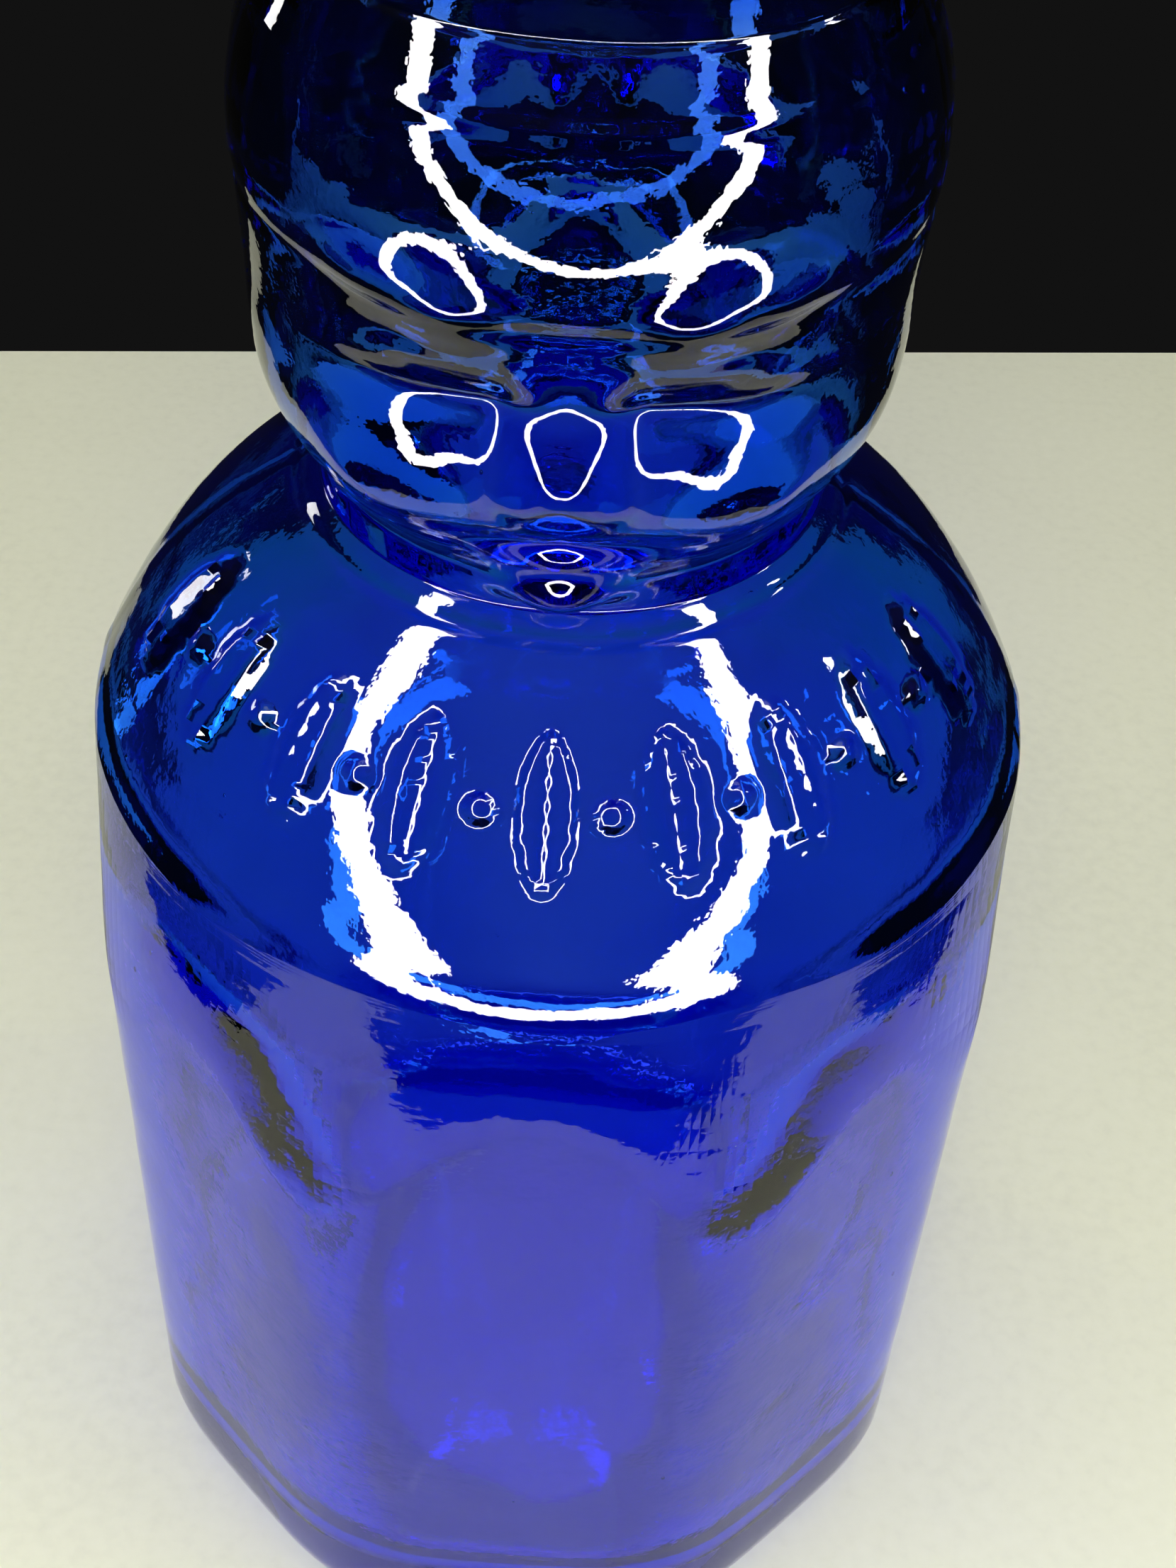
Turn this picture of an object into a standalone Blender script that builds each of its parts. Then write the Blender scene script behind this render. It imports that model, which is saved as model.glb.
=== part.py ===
# Square milk bottle whose neck is a moulded baby's head, closed by a stapled board cap.
# Metres, +Z up. The bottle stands on the origin and one of its two faces looks toward -Y.

import math

import bmesh
import bpy
from mathutils import Matrix, Vector

# Body of the bottle
BODY_WIDTH = 0.0970
CORNER_WIDTH = 0.0991
EDGE_SHARPNESS = 17.8
INNER_EDGE_SHARPNESS = 9.0
BODY_WALL = 0.0042
CORNER_WALL = 0.0058
HEEL_RADIUS = 0.0088
INNER_HEEL_RADIUS = 0.0100
BASE_THICKNESS = 0.0065
PUSH_UP_RADIUS = 0.0300
PUSH_UP_HEIGHT = 0.0020
PUSH_UP_SLOPE = 0.0040

# Shoulder and the waist under the chin
SHOULDER_START = 0.1150
EDGE_FADE_START = 0.0880
EDGE_FADE_END = 0.1240
WAIST_HEIGHT = 0.1464
WAIST_RADIUS = 0.0243
WAIST_WALL = 0.0050
WAIST_FILLET = 0.0008
# Height share of the shoulder, share of its width that is left outside the waist
SHOULDER_PROFILE_SHARES = (
    (0.000, 1.000), (0.065, 0.995), (0.131, 0.973), (0.196, 0.936), (0.278, 0.883),
    (0.360, 0.824), (0.458, 0.746), (0.572, 0.638), (0.686, 0.504), (0.797, 0.347),
    (0.856, 0.248), (0.922, 0.134), (1.000, 0.000),
)

# Raised garland of leaves and beads around the front of the shoulder
LEAF_COUNT = 9
LEAF_SPACING_DEGREES = 17.5
LEAF_LENGTH = 0.0150
LEAF_WIDTH = 0.0056
BEAD_WIDTH = 0.0030
ORNAMENT_RISE = 0.0009
ORNAMENT_ROOT = 0.0012
ORNAMENT_PLACE_SHARE = 0.62
PROBE_SHARE = 0.01
LEAF_SEGMENTS = 8
LEAF_RINGS = 7
BEAD_SEGMENTS = 8
BEAD_RINGS = 5

# Head
HEAD_RADIUS = 0.0308
HEAD_TOP = 0.1988
HEAD_WALL = 0.0042
CHIN_HEIGHT = 0.1485
FACE_START_HEIGHT = 0.0022
FACE_COUNT = 2
# Height share of the head, radius share of the head
HEAD_PROFILE_SHARES = (
    (0.000, 0.789), (0.030, 0.790), (0.053, 0.793), (0.080, 0.806), (0.110, 0.838),
    (0.140, 0.878), (0.190, 0.925), (0.256, 0.961), (0.350, 0.974), (0.444, 0.977),
    (0.567, 0.990), (0.661, 1.000), (0.727, 0.995), (0.802, 0.971), (0.878, 0.925),
    (0.944, 0.873), (1.000, 0.822),
)
# Place across and above the chin, half width, half height and rise, in shares of the head's radius
FACE_FEATURE_SHARES = {
    "forehead": (0.00, 1.02, 0.60, 0.30, 0.020),
    "brow_inner": (0.31, 0.95, 0.13, 0.08, 0.040),
    "brow_outer": (0.50, 1.03, 0.19, 0.10, 0.055),
    "lid_inner": (0.27, 0.71, 0.17, 0.05, -0.035),
    "lid_outer": (0.55, 0.69, 0.17, 0.05, -0.028),
    "eyeball": (0.36, 0.83, 0.14, 0.05, 0.020),
    "nose_tip": (0.00, 0.51, 0.14, 0.16, 0.130),
    "nose_fold": (0.20, 0.67, 0.06, 0.09, -0.022),
    "nostril": (0.11, 0.43, 0.07, 0.07, 0.020),
    "cheek": (0.48, 0.42, 0.28, 0.22, 0.110),
    "upper_lip": (0.06, 0.33, 0.13, 0.06, 0.030),
    "mouth": (0.00, 0.26, 0.20, 0.05, -0.035),
    "lower_lip": (0.00, 0.18, 0.13, 0.03, 0.012),
    "chin": (0.00, 0.04, 0.20, 0.11, 0.145),
}

# Lip, throat and the seat that the cap drops into
BOTTLE_HEIGHT = 0.2250
LIP_RADIUS = 0.0278
LIP_NECK_RADIUS = 0.0265
LIP_BEAD_HEIGHT = 0.0145
LIP_EDGE_RADIUS = 0.0020
THROAT_RADIUS = 0.0185
THROAT_LENGTH = 0.0120
SEAT_RADIUS = 0.0208
SEAT_DEPTH = 0.0048
SEAT_EDGE_RADIUS = 0.0008

# Cap disc
FIT_GAP = 0.0003
CAP_THICKNESS = 0.0011
CAP_EDGE_BEVEL = 0.0002
CAP_SIDES = 64

# Pull tab, creased across the cap behind its middle
TAB_WIDTH = 0.0110
TAB_THICKNESS = 0.0005
TAB_LENGTH = 0.0185
TAB_ROOT_LENGTH = 0.0065
TAB_CREASE_PLACE = 0.0075
TAB_CREASE_GAP = 0.0009
TAB_CORNER_RADIUS = 0.0030
TAB_ROOT_CORNER_RADIUS = 0.0008
TAB_CORNER_STEPS = 6

# Staple
WIRE_RADIUS = 0.00025
STAPLE_WIDTH = 0.0070
STAPLE_BEND_RADIUS = 0.0005
STAPLE_BEND_STEPS = 4
CLINCH_LENGTH = 0.0024
STAPLE_HOLE_SIDES = 16

# Mesh fineness, as counts
BODY_COLUMNS = 64
HEAD_COLUMNS = 72
HEAD_COLUMN_CROWDING = 0.20
LIP_COLUMNS = 44
INNER_COLUMNS = 40
ROUND_STEPS = 4
FADE_STEPS = 3
SHOULDER_STEPS = 9
FACE_STEPS = 19
CROWN_STEPS = 8
INNER_HEAD_STEPS = 9
CUT_OVERRUN = 0.0010


def clear_scene():
    for old in list(bpy.data.objects):
        bpy.data.objects.remove(old, do_unlink=True)


def make_material(name, colour, roughness, metallic=0.0, transmission=0.0):
    material = bpy.data.materials.new(name)
    material.use_nodes = True
    shader = material.node_tree.nodes["Principled BSDF"]
    shader.inputs["Base Color"].default_value = (*colour, 1.0)
    shader.inputs["Roughness"].default_value = roughness
    shader.inputs["Metallic"].default_value = metallic
    shader.inputs["Transmission Weight"].default_value = transmission
    return material


def add_object(name, mesh_data, material, sharp_angle):
    mesh_data.materials.append(material)
    piece = bpy.data.objects.new(name, mesh_data)
    bpy.context.scene.collection.objects.link(piece)
    if isinstance(mesh_data, bpy.types.Mesh):
        mesh_data.shade_smooth()
        mesh_data.set_sharp_from_angle(angle=sharp_angle)
    return piece


def smooth_curve(points, place):
    """Cubic through the points, with the slope at each one taken from its neighbours."""
    last = len(points) - 1
    slopes = []
    for index in range(last + 1):
        before = points[max(index - 1, 0)]
        after = points[min(index + 1, last)]
        slopes.append((after[1] - before[1]) / (after[0] - before[0]))
    index = 0
    while index < last - 1 and place > points[index + 1][0]:
        index += 1
    start, end = points[index], points[index + 1]
    span = end[0] - start[0]
    t = (place - start[0]) / span
    rise = end[1] - start[1]
    bend_start = slopes[index] * span - rise
    bend_end = rise - slopes[index + 1] * span
    return start[1] + rise * t + t * (1 - t) * (bend_start * (1 - t) + bend_end * t)


def body_outline(angle, half_width, half_corner, sharpness):
    """Distance to a soft-edged octagon: four flat sides and four broad corner panels."""
    total = 0.0
    for side in range(4):
        for turn, half in ((0.0, half_width), (math.pi / 4, half_corner)):
            facing = math.cos(angle - side * math.pi / 2 - turn)
            if facing > 0:
                total += (facing / half) ** sharpness
    return total ** (-1 / sharpness)


def outer_outline(angle):
    return body_outline(angle, BODY_WIDTH / 2, CORNER_WIDTH / 2, EDGE_SHARPNESS)


def inner_outline(angle):
    half_width = BODY_WIDTH / 2 - BODY_WALL
    half_corner = CORNER_WIDTH / 2 - CORNER_WALL
    return body_outline(angle, half_width, half_corner, INNER_EDGE_SHARPNESS)


def edge_share(height):
    """How much of the flat-sided outline is left: all on the flank, none high on the shoulder."""
    fade = min(1, max(0, (height - EDGE_FADE_START) / (EDGE_FADE_END - EDGE_FADE_START)))
    return 1 - fade * fade * (3 - 2 * fade)


def body_radius(angle, height, outline, half_width):
    """Radius of the body, whose corners fade out towards the round shoulder."""
    return half_width + (outline(angle) - half_width) * edge_share(height)


def shoulder_radius(angle, height, top, outline, half_width, waist_radius):
    """Radius of the shoulder, a turned dome that still carries the last of the corners."""
    share = (height - SHOULDER_START) / (top - SHOULDER_START)
    drawn_in = (half_width - waist_radius) * (1 - smooth_curve(SHOULDER_PROFILE_SHARES, share))
    return body_radius(angle, height, outline, half_width) - drawn_in


def flank_levels(outline, half_width, start):
    """Levels of the upright wall, close together where its corners fade out."""
    heights = [EDGE_FADE_START + (SHOULDER_START - EDGE_FADE_START) * step / FADE_STEPS
               for step in range(FADE_STEPS + 1)]
    levels = []
    for height in [start] + heights:
        levels.append((
            height,
            lambda angle, height=height: body_radius(angle, height, outline, half_width),
        ))
    return levels


def shoulder_levels(outline, half_width, waist_radius, top):
    levels = []
    for step in range(1, SHOULDER_STEPS + 1):
        height = SHOULDER_START + (top - SHOULDER_START) * step / (SHOULDER_STEPS + 1)

        def radius_at(angle, height=height):
            return shoulder_radius(angle, height, top, outline, half_width, waist_radius)

        levels.append((height, radius_at))
    return levels


def head_radius(height):
    share = (height - WAIST_HEIGHT) / (HEAD_TOP - WAIST_HEIGHT)
    return HEAD_RADIUS * smooth_curve(HEAD_PROFILE_SHARES, share)


def face_relief(angle, height):
    """Rise of the face nearest to this angle, above the plain turned head."""
    half_turn = math.tau / FACE_COUNT / 2
    from_front = (angle + math.pi / 2 + half_turn) % (2 * half_turn) - half_turn
    across = abs(from_front)
    above_chin = (height - CHIN_HEIGHT) / HEAD_RADIUS
    rise = 0.0
    for place, level, half_width, half_height, depth in FACE_FEATURE_SHARES.values():
        sideways = ((across - place) / half_width) ** 2
        upward = ((above_chin - level) / half_height) ** 2
        rise += depth * math.exp(-sideways - upward)
    start = min(1, max(0, (height - WAIST_HEIGHT) / FACE_START_HEIGHT))
    return HEAD_RADIUS * rise * math.sin(start * math.pi / 2)


def even_angles(count):
    return [math.tau * step / count - math.pi / 2 for step in range(count)]


def face_angles():
    """Columns around the head, closer together over the faces than at the sides."""
    angles = []
    for step in range(HEAD_COLUMNS):
        turn = math.tau * step / HEAD_COLUMNS
        angles.append(turn - HEAD_COLUMN_CROWDING * math.sin(FACE_COUNT * turn) - math.pi / 2)
    return angles


def add_ring(mesh, angles, height, radius_at):
    ring = []
    for angle in angles:
        radius = radius_at(angle)
        ring.append(mesh.verts.new((radius * math.cos(angle), radius * math.sin(angle), height)))
    return ring


def skin(mesh, lower, upper):
    count = len(lower)
    for step in range(count):
        after = (step + 1) % count
        mesh.faces.new((lower[step], lower[after], upper[after], upper[step]))


def ring_edges(mesh, ring):
    edges = []
    for step, vertex in enumerate(ring):
        pair = (vertex, ring[(step + 1) % len(ring)])
        edges.append(mesh.edges.get(pair) or mesh.edges.new(pair))
    return edges


def loft(mesh, angles, levels):
    """Skin a stack of rings and return its first and last ring."""
    rings = [add_ring(mesh, angles, height, radius_at) for height, radius_at in levels]
    for lower, upper in zip(rings, rings[1:]):
        skin(mesh, lower, upper)
    return rings[0], rings[-1]


def round_level(height, radius):
    return height, lambda angle: radius


def close_ring(mesh, ring, height):
    centre = mesh.verts.new((0, 0, height))
    for step, vertex in enumerate(ring):
        mesh.faces.new((vertex, ring[(step + 1) % len(ring)], centre))


def heel_levels(outline, radius, floor):
    """Levels of the rounded edge between a floor and the flank, from the floor up."""
    levels = []
    for step in range(ROUND_STEPS + 1):
        turn = step / ROUND_STEPS * math.pi / 2
        inset = radius * (1 - math.sin(turn))
        levels.append((
            floor + radius * (1 - math.cos(turn)),
            lambda angle, inset=inset: outline(angle) - inset,
        ))
    return levels


def shoulder_top():
    return WAIST_HEIGHT - WAIST_FILLET


def body_levels():
    """Outer levels from the push-up under the base to the waist."""
    levels = [
        round_level(PUSH_UP_HEIGHT, PUSH_UP_RADIUS - PUSH_UP_SLOPE),
        round_level(0, PUSH_UP_RADIUS),
    ]
    levels += heel_levels(outer_outline, HEEL_RADIUS, 0)[:-1]
    levels += flank_levels(outer_outline, BODY_WIDTH / 2, HEEL_RADIUS)
    levels += shoulder_levels(outer_outline, BODY_WIDTH / 2, WAIST_RADIUS, shoulder_top())
    levels.append(round_level(shoulder_top(), WAIST_RADIUS + WAIST_FILLET / 2))
    return levels


def head_levels():
    """Outer levels of the head, close together over the face and under the crown's ledge."""
    face_top = CHIN_HEIGHT + HEAD_RADIUS * FACE_FEATURE_SHARES["brow_outer"][1]
    heights = [WAIST_HEIGHT + WAIST_FILLET / 2]
    heights += [WAIST_HEIGHT + (face_top - WAIST_HEIGHT) * step / FACE_STEPS
                for step in range(1, FACE_STEPS + 1)]
    heights += [face_top + (HEAD_TOP - face_top) * math.sin(step / CROWN_STEPS * math.pi / 2)
                for step in range(1, CROWN_STEPS + 1)]
    levels = []
    for height in heights:
        levels.append((
            height,
            lambda angle, height=height: head_radius(height) + face_relief(angle, height),
        ))
    return levels


def lip_levels():
    """Levels over the lip: up its bead, across the rim and down the seat and throat."""
    bead_start = BOTTLE_HEIGHT - LIP_BEAD_HEIGHT
    seat_height = BOTTLE_HEIGHT - SEAT_DEPTH
    levels = [round_level(bead_start - LIP_EDGE_RADIUS, LIP_NECK_RADIUS)]
    bead_rise = LIP_RADIUS - LIP_NECK_RADIUS
    for step in range(ROUND_STEPS + 1):
        turn = step / ROUND_STEPS * math.pi / 2
        levels.append(round_level(
            bead_start + bead_rise * (1 - math.cos(turn)),
            LIP_NECK_RADIUS + bead_rise * math.sin(turn)))
    for step in range(ROUND_STEPS + 1):
        turn = step / ROUND_STEPS * math.pi / 2
        levels.append(round_level(
            BOTTLE_HEIGHT - LIP_EDGE_RADIUS * (1 - math.sin(turn)),
            LIP_RADIUS - LIP_EDGE_RADIUS * (1 - math.cos(turn))))
    for step in range(ROUND_STEPS // 2 + 1):
        turn = step / (ROUND_STEPS // 2) * math.pi / 2
        levels.append(round_level(
            BOTTLE_HEIGHT - SEAT_EDGE_RADIUS * (1 - math.cos(turn)),
            SEAT_RADIUS + SEAT_EDGE_RADIUS * (1 - math.sin(turn))))
    levels.append(round_level(seat_height, SEAT_RADIUS))
    levels.append(round_level(seat_height, THROAT_RADIUS))
    levels.append(round_level(seat_height - THROAT_LENGTH, THROAT_RADIUS))
    return levels


def inner_levels():
    """Levels of the inside, from just under the throat down to the floor."""
    levels = []
    inner_top = BOTTLE_HEIGHT - SEAT_DEPTH - THROAT_LENGTH
    crown = HEAD_TOP - 2 * HEAD_WALL
    levels.append(round_level(
        (inner_top + crown) / 2, (THROAT_RADIUS + head_radius(crown) - HEAD_WALL) / 2))
    for step in range(INNER_HEAD_STEPS):
        height = crown - (crown - WAIST_HEIGHT) * step / INNER_HEAD_STEPS
        levels.append(round_level(height, head_radius(height) - HEAD_WALL))
    waist_radius = WAIST_RADIUS - WAIST_WALL
    inner_shoulder_top = shoulder_top() - WAIST_WALL
    levels.append(round_level(WAIST_HEIGHT, waist_radius))
    levels.append(round_level(inner_shoulder_top, waist_radius))
    inner_half = BODY_WIDTH / 2 - BODY_WALL
    levels += reversed(shoulder_levels(
        inner_outline, inner_half, waist_radius, inner_shoulder_top))
    heel_top = BASE_THICKNESS + INNER_HEEL_RADIUS
    levels += reversed(flank_levels(inner_outline, inner_half, heel_top))
    levels += reversed(heel_levels(inner_outline, INNER_HEEL_RADIUS, BASE_THICKNESS)[:-1])
    return levels


def shoulder_point(angle, rise):
    height = SHOULDER_START + (shoulder_top() - SHOULDER_START) * rise
    radius = shoulder_radius(
        angle, height, shoulder_top(), outer_outline, BODY_WIDTH / 2, WAIST_RADIUS)
    return Vector((radius * math.cos(angle), radius * math.sin(angle), height))


def ornament_seat(angle):
    """Frame on the shoulder: X runs across, Y up the slope and Z out of the glass."""
    middle = shoulder_point(angle, ORNAMENT_PLACE_SHARE)
    across = shoulder_point(angle + PROBE_SHARE, ORNAMENT_PLACE_SHARE) - middle
    across.normalize()
    upward = shoulder_point(angle, ORNAMENT_PLACE_SHARE + PROBE_SHARE) - middle
    upward = (upward - across * upward.dot(across)).normalized()
    seat = Matrix((across, upward, across.cross(upward))).transposed().to_4x4()
    return Matrix.Translation(middle) @ seat


def make_shoulder_ornament():
    """Leaves with a bead between each pair, which are joined to the glass."""
    mesh = bmesh.new()
    depth = (ORNAMENT_RISE + ORNAMENT_ROOT) / 2
    sunk = Matrix.Translation((0, 0, (ORNAMENT_RISE - ORNAMENT_ROOT) / 2))
    places = 2 * LEAF_COUNT - 1
    for place in range(places):
        steps_from_front = (place - (places - 1) / 2) / 2
        angle = math.radians(LEAF_SPACING_DEGREES) * steps_from_front - math.pi / 2
        is_leaf = place % 2 == 0
        width = LEAF_WIDTH if is_leaf else BEAD_WIDTH
        length = LEAF_LENGTH if is_leaf else BEAD_WIDTH
        swell = Matrix.Diagonal((width / 2, depth, length / 2, 1))
        lie_down = Matrix.Rotation(-math.pi / 2, 4, "X")
        bmesh.ops.create_uvsphere(
            mesh, u_segments=LEAF_SEGMENTS if is_leaf else BEAD_SEGMENTS,
            v_segments=LEAF_RINGS if is_leaf else BEAD_RINGS, radius=1,
            matrix=ornament_seat(angle) @ sunk @ lie_down @ swell)
    bmesh.ops.recalc_face_normals(mesh, faces=mesh.faces)
    mesh_data = bpy.data.meshes.new("shoulder_ornament")
    mesh.to_mesh(mesh_data)
    mesh.free()
    ornament = bpy.data.objects.new("shoulder_ornament", mesh_data)
    bpy.context.scene.collection.objects.link(ornament)
    ornament.hide_render = True
    ornament.display_type = "WIRE"
    return ornament


def make_glass_bottle(material, ornament):
    """One closed skin: base, body, shoulder, head and lip outside, then the inside."""
    mesh = bmesh.new()
    base_ring, waist_ring = loft(mesh, even_angles(BODY_COLUMNS), body_levels())
    head_start, head_end = loft(mesh, face_angles(), head_levels())
    lip_start, lip_end = loft(mesh, even_angles(LIP_COLUMNS), lip_levels())
    inner_start, floor_ring = loft(mesh, even_angles(INNER_COLUMNS), inner_levels())
    for lower, upper in ((waist_ring, head_start), (head_end, lip_start), (lip_end, inner_start)):
        bmesh.ops.bridge_loops(mesh, edges=ring_edges(mesh, lower) + ring_edges(mesh, upper))
    close_ring(mesh, base_ring, PUSH_UP_HEIGHT)
    close_ring(mesh, floor_ring, BASE_THICKNESS)
    bmesh.ops.recalc_face_normals(mesh, faces=mesh.faces)
    bmesh.ops.triangulate(mesh, faces=mesh.faces)
    mesh_data = bpy.data.meshes.new("glass_bottle")
    mesh.to_mesh(mesh_data)
    mesh.free()
    bottle = add_object("glass_bottle", mesh_data, material, math.radians(40))
    raised = bottle.modifiers.new("shoulder_ornament", "BOOLEAN")
    raised.operation = "UNION"
    raised.solver = "EXACT"
    raised.object = ornament


def cap_base_height():
    return BOTTLE_HEIGHT - SEAT_DEPTH + FIT_GAP


def tab_height():
    """Mid-height of the tab's paper, which is also the height of its crease."""
    return cap_base_height() + CAP_THICKNESS + FIT_GAP + TAB_THICKNESS / 2


def staple_place():
    return TAB_CREASE_PLACE + TAB_CREASE_GAP / 2 + TAB_ROOT_LENGTH / 2


def hole_radius():
    return WIRE_RADIUS + FIT_GAP


def make_staple_holes(name):
    """Two upright cutters where the staple's legs pass through the board and the tab."""
    mesh = bmesh.new()
    depth = CAP_THICKNESS + TAB_THICKNESS + FIT_GAP + 2 * CUT_OVERRUN
    middle = cap_base_height() - CUT_OVERRUN + depth / 2
    for side in (-1, 1):
        made = bmesh.ops.create_cone(
            mesh, cap_ends=True, segments=STAPLE_HOLE_SIDES,
            radius1=hole_radius(), radius2=hole_radius(), depth=depth)
        bmesh.ops.translate(
            mesh, verts=made["verts"], vec=(side * STAPLE_WIDTH / 2, staple_place(), middle))
    mesh_data = bpy.data.meshes.new(name)
    mesh.to_mesh(mesh_data)
    mesh.free()
    cutter = bpy.data.objects.new(name, mesh_data)
    bpy.context.scene.collection.objects.link(cutter)
    cutter.hide_render = True
    cutter.display_type = "WIRE"
    return cutter


def cut_with(piece, cutter):
    cut = piece.modifiers.new("staple_holes", "BOOLEAN")
    cut.operation = "DIFFERENCE"
    cut.solver = "EXACT"
    cut.object = cutter


def make_cap_disc(material, cutter):
    mesh = bmesh.new()
    radius = SEAT_RADIUS - FIT_GAP
    bmesh.ops.create_cone(
        mesh, cap_ends=True, segments=CAP_SIDES, radius1=radius, radius2=radius,
        depth=CAP_THICKNESS)
    rims = [edge for edge in mesh.edges if edge.calc_face_angle(0) > math.pi / 4]
    bmesh.ops.bevel(mesh, geom=rims, offset=CAP_EDGE_BEVEL, segments=1, affect="EDGES")
    bmesh.ops.translate(
        mesh, verts=mesh.verts, vec=(0, 0, cap_base_height() + CAP_THICKNESS / 2))
    mesh_data = bpy.data.meshes.new("cap_disc")
    mesh.to_mesh(mesh_data)
    mesh.free()
    disc = add_object("cap_disc", mesh_data, material, math.radians(30))
    cut_with(disc, cutter)
    return disc


def paper_strip(name, low_y, high_y, low_corner, high_corner):
    """A flat strip of the tab's paper, centred on its crease line, with rounded ends."""
    mesh = bmesh.new()
    half = TAB_WIDTH / 2
    corners = (
        (half, low_y, low_corner, 1, 1, -0.5), (half, high_y, high_corner, 1, -1, 0.0),
        (-half, high_y, high_corner, -1, -1, 0.5), (-half, low_y, low_corner, -1, 1, 1.0),
    )
    outline = []
    for x, y, radius, side, inward, start in corners:
        if radius == 0:
            outline.append((x, y))
            continue
        for step in range(TAB_CORNER_STEPS + 1):
            turn = (start + 0.5 * step / TAB_CORNER_STEPS) * math.pi
            outline.append((
                x - side * radius + radius * math.cos(turn),
                y + inward * radius + radius * math.sin(turn)))
    lower = [mesh.verts.new((x, y, -TAB_THICKNESS / 2)) for x, y in outline]
    floor = mesh.faces.new(lower)
    raised = bmesh.ops.extrude_face_region(mesh, geom=[floor])
    top = [item for item in raised["geom"] if isinstance(item, bmesh.types.BMVert)]
    bmesh.ops.translate(mesh, verts=top, vec=(0, 0, TAB_THICKNESS))
    bmesh.ops.recalc_face_normals(mesh, faces=mesh.faces)
    mesh_data = bpy.data.meshes.new(name)
    mesh.to_mesh(mesh_data)
    mesh.free()
    return mesh_data


def make_tab(material, cutter):
    """The stapled root of the tab, and the flap that folds up about the crease."""
    crease = bpy.data.objects.new("tab_crease", None)
    bpy.context.scene.collection.objects.link(crease)
    crease.location = (0, TAB_CREASE_PLACE, tab_height())
    half_gap = TAB_CREASE_GAP / 2
    root_mesh = paper_strip(
        "tab_root", half_gap, half_gap + TAB_ROOT_LENGTH, 0, TAB_ROOT_CORNER_RADIUS)
    root = add_object("tab_root", root_mesh, material, math.radians(30))
    flap_mesh = paper_strip(
        "pull_tab", -half_gap - TAB_LENGTH, -half_gap, TAB_CORNER_RADIUS, 0)
    flap = add_object("pull_tab", flap_mesh, material, math.radians(30))
    for piece in (root, flap):
        piece.parent = crease
    cut_with(root, cutter)


def staple_path():
    """Centre line of the wire: along the clinch, up a leg, over the crown and back."""
    top = tab_height() + TAB_THICKNESS / 2 + FIT_GAP + WIRE_RADIUS
    bottom = cap_base_height() - FIT_GAP - WIRE_RADIUS
    half = STAPLE_WIDTH / 2
    path = [(half - CLINCH_LENGTH, bottom)]
    for level, start in ((bottom + STAPLE_BEND_RADIUS, -0.5), (top - STAPLE_BEND_RADIUS, 0.0)):
        for step in range(STAPLE_BEND_STEPS + 1):
            turn = (start + 0.5 * step / STAPLE_BEND_STEPS) * math.pi
            path.append((
                half - STAPLE_BEND_RADIUS + STAPLE_BEND_RADIUS * math.cos(turn),
                level + STAPLE_BEND_RADIUS * math.sin(turn)))
    mirrored = [(-x, z) for x, z in reversed(path)]
    return path + mirrored


def make_staple(material):
    curve = bpy.data.curves.new("tab_staple", "CURVE")
    curve.dimensions = "3D"
    curve.bevel_depth = WIRE_RADIUS
    curve.bevel_resolution = 2
    curve.use_fill_caps = True
    path = staple_path()
    spline = curve.splines.new("POLY")
    spline.points.add(len(path) - 1)
    for point, (x, z) in zip(spline.points, path):
        point.co = (x, 0, z, 1)
    staple = add_object("tab_staple", curve, material, math.radians(30))
    staple.location = (0, staple_place(), 0)
    return staple


def main():
    clear_scene()
    glass = make_material("cobalt_glass", (0.012, 0.045, 0.42), 0.03, transmission=1.0)
    board = make_material("waxed_board", (0.80, 0.74, 0.60), 0.55)
    paper = make_material("tab_paper", (0.72, 0.66, 0.52), 0.70)
    steel = make_material("staple_steel", (0.62, 0.61, 0.58), 0.30, metallic=1.0)
    holes = make_staple_holes("staple_hole_cutter")
    make_glass_bottle(glass, make_shoulder_ornament())
    make_cap_disc(board, holes)
    make_tab(paper, holes)
    make_staple(steel)


main()
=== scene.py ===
# %% [markdown]
# # A milk bottle of blue glass with a baby's head
# Square dairy bottles were once pressed with a baby's head for a neck: cream rose into the head,
# and a spoon held at the waist let the dairyman pour it off alone. This lesson dresses the packed
# CAD model of one such bottle. The glass is rebuilt as one fine skin, because a mould leaves soft
# waves, seams and bubbles that a plain CAD solid lacks. The board cap, its tab and the staple keep
# their CAD shapes and get real finishes.

# %% Load the frame
import math

import bmesh
import bpy
import numpy as np
from mathutils import Matrix, Vector, noise


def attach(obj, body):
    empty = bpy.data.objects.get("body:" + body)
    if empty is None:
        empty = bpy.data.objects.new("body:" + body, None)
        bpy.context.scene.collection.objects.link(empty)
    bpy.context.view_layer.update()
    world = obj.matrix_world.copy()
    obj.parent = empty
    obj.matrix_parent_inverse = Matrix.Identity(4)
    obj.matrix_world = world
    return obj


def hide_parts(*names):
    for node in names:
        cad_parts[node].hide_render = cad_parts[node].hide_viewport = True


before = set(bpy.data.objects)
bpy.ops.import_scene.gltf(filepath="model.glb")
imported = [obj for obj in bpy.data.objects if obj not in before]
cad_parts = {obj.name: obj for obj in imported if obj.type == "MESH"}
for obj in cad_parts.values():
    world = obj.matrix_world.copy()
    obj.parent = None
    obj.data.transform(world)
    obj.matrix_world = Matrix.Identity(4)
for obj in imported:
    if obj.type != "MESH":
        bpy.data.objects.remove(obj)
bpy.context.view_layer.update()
scene = bpy.context.scene

# %% [markdown]
# ## Camera
# The picture was taken from close above, so the flanks run together towards the base. A camera
# could be placed by eye, but a real one is copied by its place, its tilt and its lens. These came
# from the bottle's own straight flanks, whose lines meet at a point far below the picture. They
# put a 50 mm lens a little over 30 cm from the bottle.

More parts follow.
